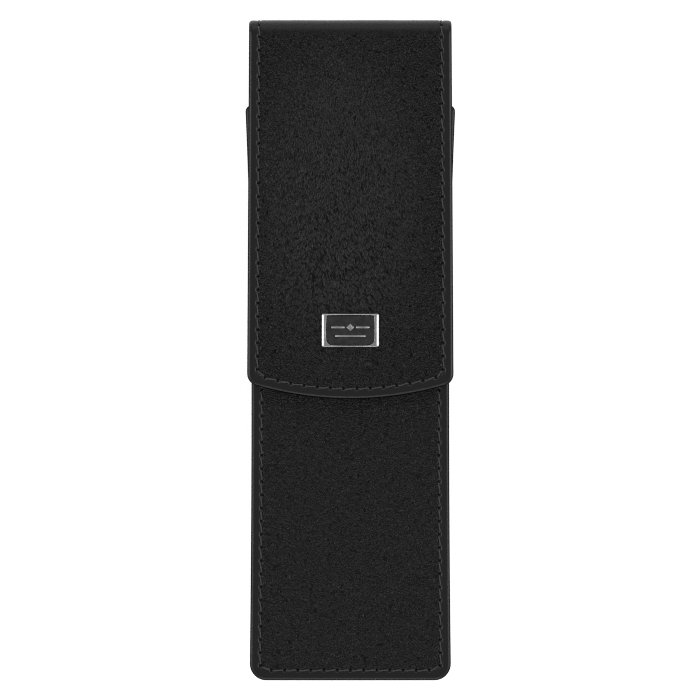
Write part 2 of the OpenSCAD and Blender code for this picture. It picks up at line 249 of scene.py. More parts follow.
def inside(points, polygon):
    """Which points lie inside a closed polygon."""
    x, y = points[:, 0][:, None], points[:, 1][:, None]
    a, b = polygon, np.roll(polygon, -1, 0)
    crosses = (a[:, 1] > y) != (b[:, 1] > y)
    rise = np.where(a[:, 1] == b[:, 1], 1, b[:, 1] - a[:, 1])
    return (crosses & (x < a[:, 0] + (y - a[:, 1])*(b[:, 0] - a[:, 0])/rise)).sum(1) % 2 == 1


def fill(outline, d, spacing, closed):
    """Triangles that fill an outline at inset d: (inner points, triangles over the ring and then them)."""
    ring = outline(d)
    low, high = ring.min(0), ring.max(0)
    columns = np.arange(np.ceil(low[0]/spacing), np.floor(high[0]/spacing) + 1)*spacing
    rows = np.linspace(low[1], high[1], round((high[1] - low[1])/spacing) + 1)
    grid = np.stack(np.meshgrid(columns, rows[1:-1]), -1).reshape(-1, 2)
    inner = grid[inside(grid, outline(d + 0.55*spacing))]
    n = len(ring)
    edges = [(i, i + 1) for i in range(n - 1)]
    if closed:
        edges.append((n - 1, 0))
    else:
        edge_line = columns[np.abs(columns) < abs(ring[0][0]) - 0.3*spacing]
        border = np.stack([edge_line, np.full(len(edge_line), S_MIDDLE)], 1)
        border = border[::-1] if ring[0][0] > 0 else border
        links = [0] + [n + i for i in range(len(border))] + [n - 1]
        edges += list(zip(links[:-1], links[1:]))
        inner = np.concatenate([border, inner])
    points = np.concatenate([ring, inner])
    result = delaunay_2d_cdt([Vector(p) for p in points.tolist()], edges, [], 1, 1e-6)
    origin = [source[0] for source in result[3]]
    return inner, [tuple(origin[i] for i in face) for face in result[2]]


def sheet(name, outline, profile, place, spacing, closed, dent, flip=1):
    """A sheet with two faces. profile runs over its edge from one face to the other as (inset, depth);
    the first and last insets are equal, and both faces are filled from there with the same triangles.
    dent(plan, inset) says how far the first face is pressed in, where its needle holes are and how strong
    its grain is; flip is -1 where that face is the deeper one."""
    profile = np.array(profile, float)
    unrolled = profile[0][0] - reach_along(profile)
    n = len(outline(0))
    inner, triangles = fill(outline, profile[0][0], spacing, closed)
    rings = len(profile)
    plan = np.concatenate([outline(d) for d, _ in profile] + [inner, inner])
    uv = np.concatenate([outline(u) for u in unrolled] + [inner, inner])
    m = len(inner)
    within = nearest(inner, outline(0))
    inset = np.concatenate([np.repeat(unrolled, n), within, within])
    e = np.concatenate([np.repeat(profile[:, 1], n), np.full(m, profile[0][1]), np.full(m, profile[-1][1])])
    first_face = np.concatenate([np.repeat(unrolled > profile[:, 0].min() + 0.1, n), np.ones(m, bool),
                                 np.zeros(m, bool)])
    pressed, hollow, grain = dent(plan, inset)
    e = e + flip*np.where(first_face, pressed, 0)
    a = np.arange(n) if closed else np.arange(n - 1)
    b = (a + 1) % n
    quads = np.concatenate([np.stack([k*n + a, k*n + b, (k + 1)*n + b, (k + 1)*n + a], 1)
                            for k in range(rings - 1)]).tolist()
    last, top, under = (rings - 1)*n, rings*n, rings*n + m
    faces = quads + [[i if i < n else top + i - n for i in t][::-1] for t in triangles]
    faces += [[last + i if i < n else under + i - n for i in t] for t in triangles]
    uncut = len(faces)
    if not closed:                         # the cut where the two halves of the wrap meet
        cut = np.flatnonzero(inner[:, 1] == S_MIDDLE)
        near = [0, *(top + cut), n - 1]
        far = [last, *(under + cut), last + n - 1]
        faces += [list(corners) for corners in zip(near[:-1], far[:-1], far[1:], near[1:])]
        faces += [[k*n for k in range(rings)], [k*n + n - 1 for k in range(rings)][::-1]]
    points = place(plan, e)
    middle = len(quads) + len(triangles)//2
    p, q, r = (points[i] for i in faces[middle][:3])
    outward = place(plan[faces[middle][:1]], -flip*1.0)[0] - place(plan[faces[middle][:1]], 0)[0]
    if np.dot(np.cross(q - p, r - p), outward) < 0:
        faces = [f[::-1] for f in faces]
    matt = np.maximum(1 - smooth(0.05, 0.4, inset), np.where(first_face, hollow, 0))
    piece = add_mesh(name, points, faces, uv, np.where(first_face, grain, 0.2), matt)
    for face in piece.data.polygons[uncut:]:
        face.use_smooth = False
    return piece


def edge_profile(thickness, half_width, n):
    """Half round edge, from the first face round to the second."""
    a = np.radians(np.linspace(-90, 90, n))
    return [(half_width*(1 - np.cos(t)), thickness/2*(1 + np.sin(t))) for t in a]


# insets of a panel's edge rings: they end at FILL_INSET, where its flat filling starts
FILL_INSET = 4.2
BEAD = 0.8                # width of the rounded edge of the leather
FACE_INSETS = [FILL_INSET, 3.7, 3.3, 3.05, 2.85, 2.7, 2.57, 2.45, 2.33, 2.2, 2.05, 1.85, 1.6, 1.3, 1.1, 0.95]


def leather_profile(turned_t):
    """From the outer face over the bead of the edge to the turned-in margin, then the flesh side."""
    face = [(d, 0) for d in FACE_INSETS]
    under = [(1.2, turned_t), (2.2, turned_t), (TURNED_IN, turned_t), (TURNED_IN + 0.05, LEATHER_T + 0.1)]
    return face + edge_profile(turned_t, BEAD, 11) + under + [(FILL_INSET, LEATHER_T + GLUE)]


def lining_profile(depth):
    """The lining from its visible face at this depth over its cut edge to its glued face."""
    face = [(d, depth) for d in (FILL_INSET, 3.6, 3.1, 2.8, 2.6, 2.45, 2.3, 2.1, 1.8, 1.4)]
    rim = [(LINING_INSET + 0.3*(1 - np.cos(t)), depth - LINING_T/2*(1 + np.sin(t)))
           for t in np.radians(np.linspace(-90, 90, 7))]
    return face + rim + [(2, depth - LINING_T), (FILL_INSET, depth - LINING_T)]


# ---- seams ----
def holes_along(path, closed=False):
    """Needle holes, evenly spaced along a path of plan points."""
    if closed:
        path = np.concatenate([path, path[:1]])
    reach = reach_along(path)
    n = round(reach[-1]/PITCH)
    at = np.linspace(0, reach[-1], n + 1)
    return np.stack([np.interp(at, reach, path[:, 0]), np.interp(at, reach, path[:, 1])], 1)


def waves(plan, size, seed):
    """Slow noise from -1 to 1 over the plan."""
    return np.array([noise.noise(Vector((x/size, y/size, seed))) for x, y in plan.tolist()])


def outer_dent(holes, seed, rise=0.05, strength=1.0):
    """Seam channel, needle holes, lowered margins and a slight unevenness. The grain is pulled flat in the
    folds and on the margins."""
    def dent(plan, inset):
        channel = 0.13*bell(inset, SEAM_INSET, 0.42)
        margin = 0.05*(1 - smooth(2.45, 3.4, inset))
        pits = bell(nearest(plan, holes), 0, 0.32)
        still = smooth(0, 4, np.abs(plan[:, 1] - S_MIDDLE))
        slow = rise*waves(plan, 13, seed) + 0.4*rise*waves(plan, 3.1, seed + 7)
        uneven = still*smooth(2.5, 6, inset)*slow
        s = plan[:, 1]
        bent = np.maximum(smooth(S_REAR - 1.5, S_REAR + 0.5, s)*(1 - smooth(S_ROOF - 0.5, S_ROOF + 1.5, s)),
                          smooth(S_FRONT - 1.5, S_FRONT + 0.5, s)*(1 - smooth(S_FLAP - 1.0, S_FLAP + 1.0, s)))
        pressed = channel + margin + 0.5*pits + uneven + rise
        return pressed, np.maximum(pits, 0.35*bent), strength*smooth(2.5, 3.0, inset)*(1 - 0.9*bent)
    return dent


def lining_dent(holes, seed):
    """The lining dips along the seam and at its holes, and is slightly uneven."""
    def dent(plan, inset):
        still = smooth(0, 4, np.abs(plan[:, 1] - S_MIDDLE))
        pits = bell(nearest(plan, holes), 0, 0.3)
        return 0.16*bell(inset, SEAM_INSET, 0.5) + 0.12*pits + still*0.05*(1 + waves(plan, 9, seed)), pits, 1
    return dent


def thread(name, seams, around=12, along=13):
    """Stitches as twisted thread. Each seam is (holes, place, depth at mid stitch, depth in a hole, radius,
    slant): a stitch leaves one hole, lies on the leather and goes down the next."""
    points, faces, uv = [], [], []
    base = 0
    angle = np.linspace(0, 2*np.pi, around, endpoint=False)
    chance = np.random.default_rng(7)
    for holes, place, mid, deep, radius, slant in seams:
        for p, q in zip(holes[:-1], holes[1:]):
            length = np.hypot(*(q - p))
            if length > 1.4*PITCH:
                continue
            side = np.array([-(q - p)[1], (q - p)[0]])/length
            start, end, lean, lift = chance.uniform((0.09, 0.86, 0.75, -0.03), (0.14, 0.91, 1.25, 0.03))
            t = np.linspace(start, end, along)
            plan = p + (q - p)*t[:, None] + side*(slant*lean*(t - 0.5))[:, None]
            e = mid + lift + (deep - mid)*np.abs(np.linspace(-1, 1, along))**5
            centre = place(plan, e)
            up = place(plan, e - 0.1) - centre
            up /= np.linalg.norm(up, axis=1)[:, None]
            along_dir = np.gradient(centre, axis=0)
            along_dir /= np.linalg.norm(along_dir, axis=1)[:, None]
            out = np.cross(along_dir, up)
            out /= np.linalg.norm(out, axis=1)[:, None]
            up = np.cross(out, along_dir)
            twist = angle[None, :] - 2.2*np.pi*t[:, None]
            r = radius*(0.93 + 0.12*np.abs(np.cos(1.5*twist)))
            ring = centre[:, None] + r[..., None]*(np.cos(angle)[None, :, None]*out[:, None]
                                                    + np.sin(angle)[None, :, None]*up[:, None])
            points.append(ring.reshape(-1, 3))
            uv.append(np.stack(np.meshgrid(angle*radius, t*length), -1).reshape(-1, 2))
            k = np.arange(along - 1)[:, None]*around
            i = np.arange(around)[None, :]
            j = (i + 1) % around
            quads = np.stack([k + i, k + j, k + around + j, k + around + i], -1).reshape(-1, 4) + base
            faces += quads.tolist()
            faces.append((base + np.arange(around))[::-1].tolist())
            faces.append((base + (along - 1)*around + np.arange(around)).tolist())
            base += along*around
    return add_mesh(name, np.concatenate(points), faces, np.concatenate(uv), 1.0)


# ---- gusset: a folded strip round three sides of the pocket ----
GUSSET_INSET, GUSSET_BOW, GUSSET_T, GUSSET_LINING_T = 4.6, 1.5, 0.6, 0.3
FLANGE_INSET = 0.5
GUSSET_SHORT, GUSSET_CORNER = 0.6, 1.2     # it stops short of the mouth; least radius of its corners
GUSSET_Z = (WRAP_T + GLUE, Z_FRONT - GLUE)


def gusset_line(d):
    """Line of the gusset round the sides and the bottom, at inset d."""
    return both_sides(pocket_side(d, MOUTH - GUSSET_SHORT, least=GUSSET_CORNER))


def wall_line(n=26):
    """Middle line of the wall as (inset, z), from the back to the front, with a soft crease half way."""
    t = np.linspace(0, 1, n)
    z = GUSSET_Z[0] + GUSSET_T/2 + 0.8 + (GUSSET_Z[1] - GUSSET_Z[0] - GUSSET_T - 1.6)*t
    whole = (z - GUSSET_Z[0])/(GUSSET_Z[1] - GUSSET_Z[0])
    inset = GUSSET_INSET + GUSSET_T/2 + GUSSET_BOW*np.sin(np.pi*whole) + 0.35*bell(t, 0.5, 0.09)
    return np.stack([inset, z], 1)


def flanged_line():
    """The wall's line with a flange at each end, which is sewn to the back or to the front."""
    wall = wall_line()
    foot_z, head_z = GUSSET_Z[0] + GUSSET_T/2, GUSSET_Z[1] - GUSSET_T/2
    tip = FLANGE_INSET + GUSSET_T/2
    foot = [(tip, foot_z), (2, foot_z), (3, foot_z), (GUSSET_INSET - 0.6, foot_z)]
    bend = [(wall[0][0] - 0.42, foot_z + 0.08), (wall[0][0] - 0.12, foot_z + 0.36)]
    low = np.array(foot + bend)
    high = low[::-1]*[1, -1] + [0, foot_z + head_z]
    return np.concatenate([low, wall, high])


def thicken(line, half):
    """A closed strip round a line, with round ends: (inset, z) points."""
    ahead = np.gradient(line, axis=0)
    ahead /= np.linalg.norm(ahead, axis=1)[:, None]
    side = np.stack([-ahead[:, 1], ahead[:, 0]], 1)*half
    turn = np.radians(np.linspace(90, -90, 7)[1:-1])[:, None]
    end = line[-1] + np.sin(turn)*side[-1] + np.cos(turn)*ahead[-1]*half
    start = line[0] - np.sin(turn)*side[0] - np.cos(turn)*ahead[0]*half
    return np.concatenate([line + side, end, (line - side)[::-1], start])


def gusset_piece(name, strip, seed):
    """Sweeps a closed strip of (inset, z) points along the gusset's line, uneven where it is free."""
    lines = np.stack([gusset_line(d) for d, _ in strip], 1)           # stations x strip points x 2
    stations, m = lines.shape[:2]
    reach, around = reach_along(lines[:, 0]), reach_along(strip)
    z = np.broadcast_to(strip[:, 1], (stations, m))
    points = np.dstack([lines[..., 0], Y_BOTTOM + lines[..., 1], z]).reshape(-1, 3)
    uv = np.stack(np.meshgrid(around, reach), -1).reshape(-1, 2)
    free = bell(z.reshape(-1), (GUSSET_Z[0] + GUSSET_Z[1])/2, 4.2)
    middle = np.array([0, 0.5*MOUTH + Y_BOTTOM, 0])
    inward = (middle - points)*[1, 0.12, 0]
    inward /= np.linalg.norm(inward, axis=1)[:, None] + 1e-9
    soft = np.array([noise.noise(Vector((r/9, h/5, seed))) for r, h in
                     np.stack([np.repeat(reach, m), z.reshape(-1)], 1).tolist()])
    points = points + inward*(0.28*free*soft)[:, None]
    k = np.arange(stations - 1)[:, None]*m
    i = np.arange(m)[None, :]
    j = (i + 1) % m
    faces = np.stack([k + i, k + m + i, k + m + j, k + j], -1).reshape(-1, 4).tolist()
    faces.append(np.arange(m).tolist())
    faces.append(((stations - 1)*m + np.arange(m))[::-1].tolist())
    return add_mesh(name, points, faces, uv, 0.55)


# ---- small solids with rounded edges ----
def rounded(x0, y0, x1, y1, radii, n=6, bulge=0.0):
    """Outline function of a box with its own radius at each corner, from the lower right one round."""
    def outline(d):
        corners = [(x1, y0, -90), (x1, y1, 0), (x0, y1, 90), (x0, y0, 180)]
        parts = []
        for (x, y, a), radius in zip(corners, radii):
            r = max(0.02, radius - d)
            cx = x - (d + r)*(1 if x == x1 else -1)
            cy = y - (d + r)*(1 if y == y1 else -1)
            parts.append(arc(cx, cy, r, a, a + 90, n))
        loop = np.concatenate(parts)
        split = []
        for p, q in zip(loop, np.roll(loop, -1, 0)):
            split.append(run(p, q, 4)[:-1])
        loop = np.concatenate(split)
        middle, half = np.array([(x0 + x1)/2, (y0 + y1)/2]), np.array([(x1 - x0)/2, (y1 - y0)/2])
        unit = (loop - middle)/half
        return loop + bulge*np.sign(unit)*(np.abs(unit) > 0.9)*(1 - np.clip(unit[:, ::-1], -1, 1)**2)
    return outline


def stack(name, rings, place=lambda points: points):
    """A solid from a stack of (outline function, inset, z) rings, closed at both ends."""
    loops = [np.column_stack([outline(d), np.full(len(outline(d)), z)]) for outline, d, z in rings]
    n = len(loops[0])
    i = np.arange(n)
    faces = np.concatenate([np.stack([k*n + i, k*n + (i + 1) % n, (k + 1)*n + (i + 1) % n, (k + 1)*n + i], 1)
                            for k in range(len(loops) - 1)]).tolist()
    faces.append(i[::-1].tolist())
    faces.append(((len(loops) - 1)*n + i).tolist())
    points = np.concatenate(loops)
    return add_mesh(name, place(points), faces, points[:, :2], 0.3)


def join(name, *parts):
    """Makes several meshes one piece."""
    with bpy.context.temp_override(active_object=parts[0], selected_editable_objects=list(parts)):
        bpy.ops.object.join()
    parts[0].name = name
    return parts[0]


# ---- materials ----
class Nodes:
    """A material's node tree, with short calls to add nodes and links."""
    def __init__(self, name):
        self.material = bpy.data.materials.new(name)
        self.material.use_nodes = True
        self.tree = self.material.node_tree
        self.tree.nodes.clear()
        self.shader = self.tree.nodes.new("ShaderNodeBsdfPrincipled")
        out = self.tree.nodes.new("ShaderNodeOutputMaterial")
        self.tree.links.new(self.shader.outputs[0], out.inputs[0])

    def add(self, kind, inputs=(), **settings):
        node = self.tree.nodes.new("ShaderNode" + kind)
        for key, value in settings.items():
            setattr(node, key, value)
        for key, value in dict(inputs).items():
            if isinstance(value, bpy.types.NodeSocket):
                self.tree.links.new(value, node.inputs[key])
            else:
                node.inputs[key].default_value = value
        return node

    def math(self, operation, a, b=0.0, clamp=False):
        return self.add("Math", {0: a, 1: b}, operation=operation, use_clamp=clamp).outputs[0]

    def vector(self, operation, a, b):
        return self.add("VectorMath", {0: a, 1: b}, operation=operation).outputs[0]

    def scaled(self, a, scale):
        return self.add("VectorMath", {0: a, 3: scale}, operation="SCALE").outputs[0]

    def ramp(self, value, low, high, to_low=0.0, to_high=1.0, smoothstep=True):
        node = self.add("MapRange", {0: value, 1: low, 2: high, 3: to_low, 4: to_high},
                        interpolation_type="SMOOTHSTEP" if smoothstep else "LINEAR")
        return node.outputs[0]

    def millimetres(self):
        """Coordinates on the flat sheet, in millimetres."""
        uv = self.add("UVMap", uv_map="metric").outputs[0]
        return self.scaled(uv, 1000)

    def carried(self, name):
        return self.add("Attribute", attribute_name=name, attribute_type="GEOMETRY").outputs["Fac"]

    def noise(self, at, scale, detail=2.0, rough=0.5):
        inputs = {"Vector": at, "Scale": scale, "Detail": detail, "Roughness": rough}
        return self.add("TexNoise", inputs).outputs[0]

    def cells(self, at, scale):
        """Distance to the edge of the nearest cell."""
        inputs = {"Vector": at, "Scale": scale}
        return self.add("TexVoronoi", inputs, feature="DISTANCE_TO_EDGE").outputs["Distance"]

    def colour(self, factor, dark, light):
        return self.add("Mix", {0: factor, 6: (*dark, 1), 7: (*light, 1)}, data_type="RGBA").outputs[2]

    def bump(self, height, distance):
        """Raises the surface by distance, in millimetres, where height is 1."""
        node = self.add("Bump", {"Height": height, "Distance": distance*MM, "Strength": 1.0})
        self.set("Normal", node.outputs[0])

    def set(self, name, value):
        if isinstance(value, bpy.types.NodeSocket):
            self.tree.links.new(value, self.shader.inputs[name])
        else:
            self.shader.inputs[name].default_value = value


DRAWN_AT = (-3.0, S_FLAP + 42.0, 0.0)      # middle of the flap's drawn grain
FAN_AXIS = 4.0                             # place across the flap where the drawn grain runs straight down


def leather(name, dark, light, rough, depth, wrinkled=False):
    """Fine pebbled leather. Its grain fades out on the stretched margins, and the edges are dressed matt. Its
    colour follows the grain's height: partly the leather's own tone, partly painted shade in the pits and
    creases and a painted highlight on the ridges and crease lines.
    """
    m = Nodes(name)
    at = m.millimetres()
    swirl = m.add("TexNoise", {"Vector": at, "Scale": 0.55, "Detail": 1.0}).outputs["Color"]
    swirl = m.vector("SUBTRACT", swirl, (0.5, 0.5, 0.5))
    warped = m.vector("ADD", at, m.scaled(swirl, 2.6))
    pebble = m.ramp(m.cells(warped, 1.5), 0.0, 0.24)
    small = m.ramp(m.cells(warped, 2.7), 0.0, 0.40)
    patch = m.ramp(m.noise(at, 0.16, 2.0), 0.35, 0.60, 0.95, 1.0)
    fine = m.noise(at, 4.0, 2.0, 0.6)
    if wrinkled:                           # cells and lines drawn out lengthwise, fanning down the flap
        gentle = m.add("SeparateXYZ", {0: m.vector("ADD", at, m.scaled(swirl, 0.8))})
        spread = m.ramp(gentle.outputs[1], S_FLAP + 12.0, S_FLAP + 72.0, 1.5, 0.5, smoothstep=False)
        across = m.math("MULTIPLY", m.math("SUBTRACT", gentle.outputs[0], FAN_AXIS), spread)
        fan = m.add("CombineXYZ", {0: across, 1: gentle.outputs[1]}).outputs[0]
        drawn = m.add("Mapping", {"Vector": fan, "Rotation": (0, 0, -0.15), "Scale": (0.65, 2.6, 1)},
                      vector_type="TEXTURE").outputs[0]
        away = m.vector("MULTIPLY", m.vector("SUBTRACT", at, DRAWN_AT), (0.042, 0.022, 0))
        reach = m.add("VectorMath", {0: away}, operation="LENGTH").outputs["Value"]
        pull = m.ramp(reach, 0.25, 1.15, 0.9, 0.0)
        long_cells = m.ramp(m.cells(drawn, 1.5), 0.0, 0.24)
        pebble = m.add("Mix", {0: pull, 2: pebble, 3: long_cells}, data_type="FLOAT").outputs[0]
        line = m.ramp(m.cells(m.vector("ADD", drawn, (31.7, 12.3, 0)), 1.0), 0.0, 0.12, 1.0, 0.0)
        line = m.math("MULTIPLY", line, pull)
    height = m.math("ADD", m.math("MULTIPLY", pebble, 0.62), m.math("MULTIPLY", small, 0.20))
    height = m.math("MULTIPLY", height, patch)
    # the crease lines are raised, which also makes them lighter in the base colour below: a painted highlight
    # along them
    if wrinkled:
        height = m.math("ADD", height, m.math("MULTIPLY", line, 0.22))
    grain = m.carried("grain")
    height = m.math("MULTIPLY", height, m.ramp(grain, 0.0, 1.0, 0.08, 1.0, smoothstep=False))
    height = m.math("ADD", height, m.math("MULTIPLY", fine, 0.06))
    m.bump(height, depth)
    # base colour from the grain's height: the grain's own tone, with painted shade in its pits and creases
    # and a painted highlight on its ridges and crease lines
    m.set("Base Color", m.colour(m.ramp(height, 0.2, 0.8), dark, light))
    edge = m.carried("edge")
    coarse = m.add("Mix", {0: grain, 2: rough[0], 3: rough[1]}, data_type="FLOAT").outputs[0]
    m.set("Roughness", m.math("ADD", coarse, m.math("MULTIPLY", edge, 0.2)))
    hollow = m.math("MULTIPLY", grain, m.ramp(height, 0.1, 0.65, 0.40, 0.12))
    shine = m.math("SUBTRACT", m.math("SUBTRACT", 0.52, hollow), m.math("MULTIPLY", edge, 0.42), clamp=True)
    if wrinkled:
        shine = m.math("ADD", shine, m.math("MULTIPLY", line, m.math("MULTIPLY", grain, 0.05)))
    m.set("Specular IOR Level", shine)
    return m.material


def woven(name, dark, light, pitch=0.45):
    """Plain woven lining: raised threads both ways, each over and under the other."""
    m = Nodes(name)
    at = m.millimetres()
    wave = 2*np.pi/pitch
    part = m.add("SeparateXYZ", {0: m.scaled(at, wave)})
    u, v = (m.math("SINE", part.outputs[k]) for k in (0, 1))
    half_u, half_v = (m.math("SINE", m.math("MULTIPLY", part.outputs[k], 0.5)) for k in (0, 1))
    over = m.math("MULTIPLY", half_u, half_v)
    warp = m.math("MULTIPLY", u, over)
    weft = m.math("MULTIPLY", v, m.math("MULTIPLY", over, -1.0))
    fibres = m.math("MULTIPLY", m.noise(at, 3.0, 3.0), 0.5)
    height = m.math("ADD", m.math("MAXIMUM", warp, weft), fibres)
    m.bump(height, 0.05)
    m.set("Base Color", m.colour(m.ramp(height, -0.2, 1.0), dark, light))
    m.set("Roughness", m.ramp(m.noise(at, 0.8), 0.3, 0.7, 0.72, 0.85))
    m.set("Sheen Weight", 0.25)
    m.set("Sheen Roughness", 0.5)
    return m.material


def twisted_thread(name, dark, light):
    """Waxed thread with slanting plies."""
    m = Nodes(name)
    at = m.millimetres()
    part = m.add("SeparateXYZ", {0: at})
    slope = m.math("ADD", m.math("MULTIPLY", part.outputs[0], 14.0), m.math("MULTIPLY", part.outputs[1], 9.0))
    fibre = m.math("SINE", slope)
    fuzz = m.noise(at, 12.0, 3.0)
    m.bump(m.math("ADD", m.math("MULTIPLY", fibre, 0.5), fuzz), 0.025)
    m.set("Base Color", m.colour(m.ramp(fuzz, 0.3, 0.7), dark, light))
    m.set("Roughness", m.ramp(fuzz, 0.3, 0.7, 0.42, 0.6))
    m.set("Sheen Weight", 0.3)
    return m.material


def pressed_board(name):
    """Brown fibre board."""
    m = Nodes(name)
    at = m.scaled(m.add("TexCoord").outputs["Object"], 1000)
    flecks = m.noise(m.vector("MULTIPLY", at, (1, 0.3, 1)), 2.4, 4.0, 0.7)
    m.bump(flecks, 0.05)
    m.set("Base Color", m.colour(m.ramp(flecks, 0.3, 0.7), (0.16, 0.13, 0.09), (0.33, 0.27, 0.19)))
    m.set("Roughness", m.ramp(flecks, 0.2, 0.8, 0.8, 0.95))
    return m.material


def metal(name, dark, light, rough, brushed=0.0, metallic=1.0):
    """Plated metal with faint scratches; brushed stretches them across."""
    m = Nodes(name)
    at = m.scaled(m.add("TexCoord").outputs["Object"], 1000)
    smear = m.noise(at, 0.9, 2.0)
    scratch = m.noise(m.vector("MULTIPLY", at, (1 - 0.9*brushed, 1 + 5*brushed, 1)), 9.0, 3.0, 0.7)
    m.bump(scratch, 0.004 + 0.012*brushed)
    m.set("Base Color", m.colour(m.ramp(smear, 0.3, 0.7), dark, light))
    m.set("Metallic", metallic)
    worn = m.math("ADD", m.math("MULTIPLY", smear, 0.6), m.math("MULTIPLY", scratch, 0.4))
    m.set("Roughness", m.ramp(worn, 0.3, 0.7, *rough))
    return m.material


MATERIALS = {
    "black_leather": leather("black_leather", (0.0022, 0.0022, 0.0023), (0.0046, 0.0046, 0.0048),
                             (0.33, 0.39), 0.18, wrinkled=True),
    "divider_leather": leather("divider_leather", (0.009, 0.009, 0.0095), (0.018, 0.018, 0.019),
                               (0.5, 0.62), 0.07),
    "lining": woven("lining", (0.008, 0.008, 0.009), (0.022, 0.022, 0.025)),
    "thread": twisted_thread("thread", (0.018, 0.018, 0.0185), (0.036, 0.036, 0.037)),
    "board": pressed_board("board"),
    "nickel_steel": metal("nickel_steel", (0.52, 0.51, 0.49), (0.62, 0.61, 0.60), (0.2, 0.34), 0.6),
    "backing_steel": metal("backing_steel", (0.42, 0.43, 0.44), (0.55, 0.56, 0.57), (0.3, 0.45), 0.8),
    "badge_chrome": metal("badge_chrome", (0.46, 0.46, 0.47), (0.54, 0.54, 0.55), (0.24, 0.34)),
    "badge_plate": metal("badge_plate", (0.035, 0.035, 0.037), (0.05, 0.05, 0.053), (0.34, 0.44), 0.4,
                         metallic=0.6),
}


def finish(piece, slot, *nodes):
    """Gives a piece the material of a slot, and hides the CAD nodes that it stands for."""
    piece.data.materials.clear()
    piece.data.materials.append(MATERIALS[slot])
    if nodes:
        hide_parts(*nodes)
    return piece


def fold_rear(piece):
    """Bakes a piece's placement into its mesh; nothing bends it over the rear fold."""
    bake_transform(piece)


def fold_front(piece):
    """Bakes a piece's placement into its mesh; nothing bends it over the front fold."""
    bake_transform(piece)


def length_of(line):
    """Whole length of a line of points."""
    return np.hypot(*np.diff(line, axis=0).T).sum()


def lined(piece, outline, *boards):
    """Works out the outline that a lining is cut to on the flat, and its size, and keeps neither. The piece
    and the boards, the pieces that the lining is glued over, are not used.
    """
    cut = outline(LINING_INSET)
    ahead = np.roll(cut, -1, 0)
    np.ptp(cut, 0)*MM


# ---- back, roof and flap ----
lower_holes = holes_along(lower_outline(SEAM_INSET))
upper_holes = holes_along(upper_outline(SEAM_INSET))

lower_leather = sheet("lower_leather", lower_outline, leather_profile(TURNED_T["wrap"]), wrap, 0.8, False,
                      outer_dent(lower_holes, 3))
fold_rear(finish(lower_leather, "black_leather", "back_leather"))
upper_leather = sheet("upper_leather", upper_outline, leather_profile(TURNED_T["wrap"]), wrap, 0.5, False,
                      outer_dent(upper_holes, 11))
fold_front(finish(upper_leather, "black_leather", "roof_leather", "flap_leather"))

lower_lining = sheet("lower_lining", lower_outline, lining_profile(WRAP_T), wrap, 0.9, False,
                     lining_dent(lower_holes, 21), flip=-1)
fold_rear(finish(lower_lining, "lining", "back_lining"))
lined(lower_lining, lower_outline, "back_board", "roof_board")
upper_lining = sheet("upper_lining", upper_outline, lining_profile(WRAP_T), wrap, 0.7, False,
                     lining_dent(upper_holes, 27), flip=-1)
fold_front(finish(upper_lining, "lining", "roof_lining", "flap_lining"))
lined(upper_lining, upper_outline, "roof_board", "flap_board")

# ---- front ----
front_holes = holes_along(front_outline(SEAM_INSET), closed=True)
front_leather = sheet("front_skin", front_outline, leather_profile(TURNED_T["front"]), on_front, 0.6, True,
                      outer_dent(front_holes, 31, strength=0.85))
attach(finish(front_leather, "black_leather", "front_leather"), "pocket")
front_lining = sheet("front_inner", front_outline, lining_profile(FRONT_T), on_front, 0.9, True,
                     lining_dent(front_holes, 37), flip=-1)
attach(finish(front_lining, "lining", "front_lining"), "pocket")
lined(front_lining, front_outline, "front_board")

# ---- gusset ----
gusset = gusset_piece("gusset_strip", thicken(flanged_line(), GUSSET_T/2), 41)
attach(finish(gusset, "black_leather", "gusset"), "pocket")
skin = wall_line() + [GUSSET_T/2 + GLUE + GUSSET_LINING_T/2, 0]
gusset_skin = gusset_piece("gusset_inner", thicken(skin, GUSSET_LINING_T/2), 41)
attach(finish(gusset_skin, "lining", "gusset_lining"), "pocket")
skin_size = (length_of(skin), length_of(gusset_line(skin[:, 0].mean())))

# ---- thread ----
THREAD_R, BOBBIN_R, SLANT = 0.165, 0.15, 0.45
LYING, DIVED = 0.10, 0.62


def inner_face(plan, e):
    """On the lining of the wrap: depth counts down into it."""
    return wrap(plan, WRAP_T - np.asarray(e))


in_pocket = lower_holes[:, 1] < MOUTH - 1
left_end, right_end = np.argmax(in_pocket), len(in_pocket) - np.argmax(in_pocket[::-1])
pocket_holes = lower_holes[left_end:right_end]
top_holes = [lower_holes[:left_end], lower_holes[right_end:]]
mouth = front_holes[:, 1] > MOUTH - SEAM_INSET - 0.01
first, last = np.argmax(mouth), len(mouth) - 1 - np.argmax(mouth[::-1])
mouth_holes = front_holes[first:last + 1]
side_holes = [front_holes[:first + 1], front_holes[last:]]

outer = (LYING, DIVED, THREAD_R, -SLANT)      # on the wrap, drawn from behind
outer_front = (LYING, DIVED, THREAD_R, SLANT)
inner = (-0.06, 0.3, BOBBIN_R, -0.3)
lower_thread = thread("lower_thread", [(lower_holes, wrap, *outer)])
fold_rear(finish(lower_thread, "thread", "back_thread"))
lower_bobbin = thread("lower_bobbin", [(holes, inner_face, *inner) for holes in top_holes], 8, 9)
fold_rear(finish(lower_bobbin, "thread", "back_top_thread"))
upper_thread = thread("upper_thread", [(upper_holes, wrap, *outer)])
fold_front(finish(upper_thread, "thread", "roof_thread", "flap_thread"))
upper_bobbin = thread("upper_bobbin", [(upper_holes, inner_face, 0.06, 0.3, BOBBIN_R, -0.3)], 8, 9)
fold_front(finish(upper_bobbin, "thread", "flap_bobbin_thread"))
front_thread = thread("front_stitches", [(holes, on_front, *outer_front) for holes in side_holes])
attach(finish(front_thread, "thread", "front_thread"), "pocket")
